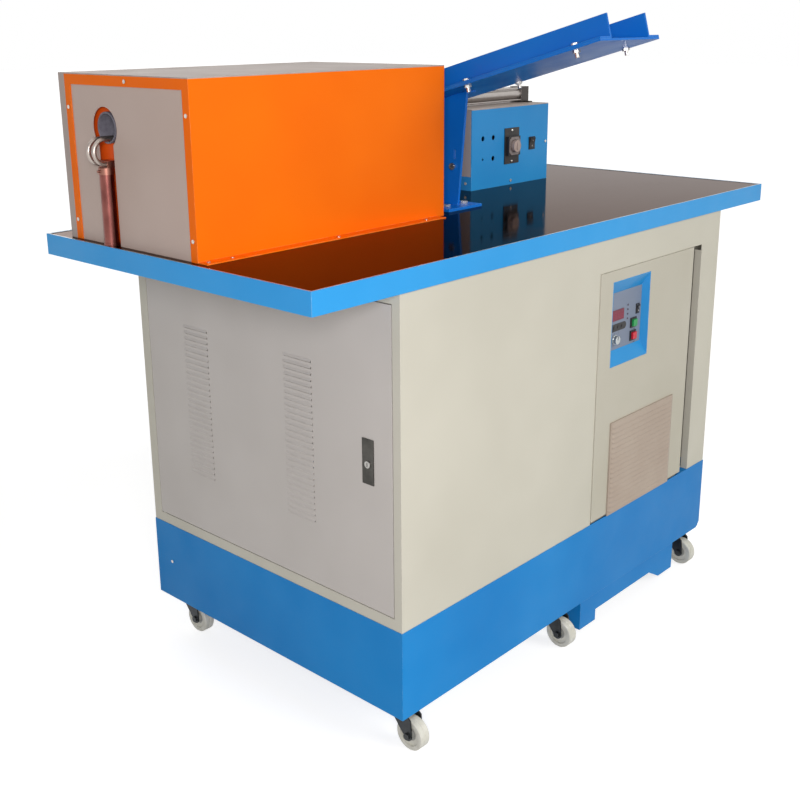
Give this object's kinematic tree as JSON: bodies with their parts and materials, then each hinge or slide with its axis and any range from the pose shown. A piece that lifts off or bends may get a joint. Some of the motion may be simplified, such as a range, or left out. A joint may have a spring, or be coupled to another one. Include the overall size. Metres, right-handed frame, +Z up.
{
  "type": "induction heating machine",
  "caption": "Induction heating machine on casters: furnace box with coil, inclined billet tray, pneumatic feeder and control box on a table, over a louvred cabinet with a power unit.",
  "frame": {"origin": "on the floor, under the middle of the table top", "axes": "+Z up; -Y is the operator's side with the power unit's face; -X is the discharge end with the side door"},
  "size_m": [1.515, 0.8325, 1.3263],
  "materials": {
    "blue_paint": "gloss",
    "deep_blue_paint": "gloss",
    "beige_paint": "satin",
    "grey_paint": "matte",
    "orange_paint": "gloss",
    "orange_board": "matte",
    "steel": "satin",
    "stainless": "satin",
    "black_steel": "satin",
    "nylon": "satin",
    "lock_metal": "satin",
    "brass": "satin",
    "brown_tube": "gloss",
    "dark_glass": "high gloss",
    "control_grey": "satin",
    "display_red": "gloss",
    "black_plastic": "satin",
    "green_cap": "gloss",
    "red_cap": "gloss",
    "led_red": "gloss",
    "grill_paint": "matte",
    "copper": "satin",
    "refractory": "matte",
    "capacitor_can": "satin",
    "cylinder_metal": "satin",
    "dial": "satin"
  },
  "bodies": {
    "machine": {"base_skirt": "blue_paint", "floor_pan": "steel", "unit_plinth": "blue_paint", "caster_plates": "steel", "cabinet_shell": "beige_paint", "hinge_pins": "steel", "rear_fittings": "brass", "table_frame": "blue_paint", "table_deck": "dark_glass", "unit_housing": "beige_paint", "panel_recess": "blue_paint", "control_plate": "control_grey", "display_window": "display_red", "panel_bezels": "black_plastic", "indicator_leds": "led_red", "grill": "grill_paint", "furnace_case": "orange_paint", "case_cover": "grey_paint", "end_panels": "grey_paint", "coil": "copper", "coil_lining": "refractory", "coil_mounts": "orange_board", "rail_tubes": "stainless", "riser_tube": "brown_tube", "riser_fitting": "brass", "transformer": "black_steel", "busbars": "copper", "capacitors": "capacitor_can", "feed_upright": "deep_blue_paint", "tray_plate": "deep_blue_paint", "tray_angles": "deep_blue_paint", "tray_bolts": "steel", "feed_trough": "steel", "control_box": "blue_paint", "control_cover": "grey_paint", "timer_body": "black_plastic", "air_cylinder": "cylinder_metal", "sheet_screws": "steel"},
    "door": {"side_door": "beige_paint", "door_lock": "lock_metal"},
    "lock_plug": {"lock_cam": "steel"},
    "main_rocker": {"power_rocker": "black_plastic"},
    "start": {"start_button": "green_cap"},
    "stop": {"stop_button": "red_cap"},
    "level": {"level_knob": "black_plastic"},
    "timer": {"timer_knob": "dial"},
    "feed_switch": {"feed_rocker": "black_plastic"},
    "ram": {"piston_rod": "steel"},
    "swivel_1": {"caster_fork_1": "black_steel"},
    "wheel_1": {"caster_wheel_1": "nylon"},
    "swivel_2": {"caster_fork_2": "black_steel"},
    "wheel_2": {"caster_wheel_2": "nylon"},
    "swivel_3": {"caster_fork_3": "black_steel"},
    "wheel_3": {"caster_wheel_3": "nylon"},
    "swivel_4": {"caster_fork_4": "black_steel"},
    "wheel_4": {"caster_wheel_4": "nylon"},
    "swivel_5": {"caster_fork_5": "black_steel"},
    "wheel_5": {"caster_wheel_5": "nylon"},
    "swivel_6": {"caster_fork_6": "black_steel"},
    "wheel_6": {"caster_wheel_6": "nylon"}
  },
  "joints": [
    {"name": "caster_swivel_1", "type": "hinge", "parent": "machine", "child": "swivel_1", "pos_m": [-0.505, -0.327, 0.075], "axis": [0, 0, 1], "continuous": true},
    {"name": "caster_roll_1", "type": "hinge", "parent": "swivel_1", "child": "wheel_1", "pos_m": [-0.505, -0.351, 0.0315], "axis": [1, 0, 0], "continuous": true},
    {"name": "caster_swivel_2", "type": "hinge", "parent": "machine", "child": "swivel_2", "pos_m": [-0.02, -0.327, 0.075], "axis": [0, 0, 1], "continuous": true},
    {"name": "caster_roll_2", "type": "hinge", "parent": "swivel_2", "child": "wheel_2", "pos_m": [-0.02, -0.351, 0.0315], "axis": [1, 0, 0], "continuous": true},
    {"name": "caster_swivel_3", "type": "hinge", "parent": "machine", "child": "swivel_3", "pos_m": [0.505, -0.327, 0.075], "axis": [0, 0, 1], "continuous": true},
    {"name": "caster_roll_3", "type": "hinge", "parent": "swivel_3", "child": "wheel_3", "pos_m": [0.505, -0.351, 0.0315], "axis": [1, 0, 0], "continuous": true},
    {"name": "caster_swivel_4", "type": "hinge", "parent": "machine", "child": "swivel_4", "pos_m": [-0.505, 0.313, 0.075], "axis": [0, 0, 1], "continuous": true},
    {"name": "caster_roll_4", "type": "hinge", "parent": "swivel_4", "child": "wheel_4", "pos_m": [-0.505, 0.289, 0.0315], "axis": [1, 0, 0], "continuous": true},
    {"name": "caster_swivel_5", "type": "hinge", "parent": "machine", "child": "swivel_5", "pos_m": [-0.02, 0.313, 0.075], "axis": [0, 0, 1], "continuous": true},
    {"name": "caster_roll_5", "type": "hinge", "parent": "swivel_5", "child": "wheel_5", "pos_m": [-0.02, 0.289, 0.0315], "axis": [1, 0, 0], "continuous": true},
    {"name": "caster_swivel_6", "type": "hinge", "parent": "machine", "child": "swivel_6", "pos_m": [0.505, 0.313, 0.075], "axis": [0, 0, 1], "continuous": true},
    {"name": "caster_roll_6", "type": "hinge", "parent": "swivel_6", "child": "wheel_6", "pos_m": [0.505, 0.289, 0.0315], "axis": [1, 0, 0], "continuous": true},
    {"name": "door_hinge", "type": "hinge", "parent": "machine", "child": "door", "pos_m": [-0.547, 0.336, 0.578], "axis": [0, 0, -1], "range_deg": [0, 105]},
    {"name": "lock_turn", "type": "hinge", "parent": "door", "child": "lock_plug", "pos_m": [-0.552, -0.291, 0.57012], "axis": [-1, 0, 0], "range_deg": [0, 90]},
    {"name": "main_rocker_tilt", "type": "hinge", "parent": "machine", "child": "main_rocker", "pos_m": [0.22145, -0.357, 0.7145], "axis": [-1, 0, 0], "range_deg": [0, 16]},
    {"name": "feed_rocker_tilt", "type": "hinge", "parent": "machine", "child": "feed_switch", "pos_m": [0.44399, 0.09598, 1.0215], "axis": [-1, 0, 0], "range_deg": [0, 16]},
    {"name": "start_push", "type": "slide", "parent": "machine", "child": "start", "axis": [0, 1, 0], "range_m": [0, 0.0025], "stiffness_N_per_m": 400, "springref_m": -0.002},
    {"name": "stop_push", "type": "slide", "parent": "machine", "child": "stop", "axis": [0, 1, 0], "range_m": [0, 0.0025], "stiffness_N_per_m": 400, "springref_m": -0.002},
    {"name": "level_turn", "type": "hinge", "parent": "machine", "child": "level", "pos_m": [0.13433, -0.36, 0.662], "axis": [0, 1, 0], "range_deg": [-135, 135]},
    {"name": "timer_turn", "type": "hinge", "parent": "machine", "child": "timer", "pos_m": [0.36102, 0.08398, 1.0215], "axis": [0, 1, 0], "range_deg": [-150, 150]},
    {"name": "ram_stroke", "type": "slide", "parent": "machine", "child": "ram", "axis": [-1, 0, 0], "range_m": [0, 0.2]}
  ]
}
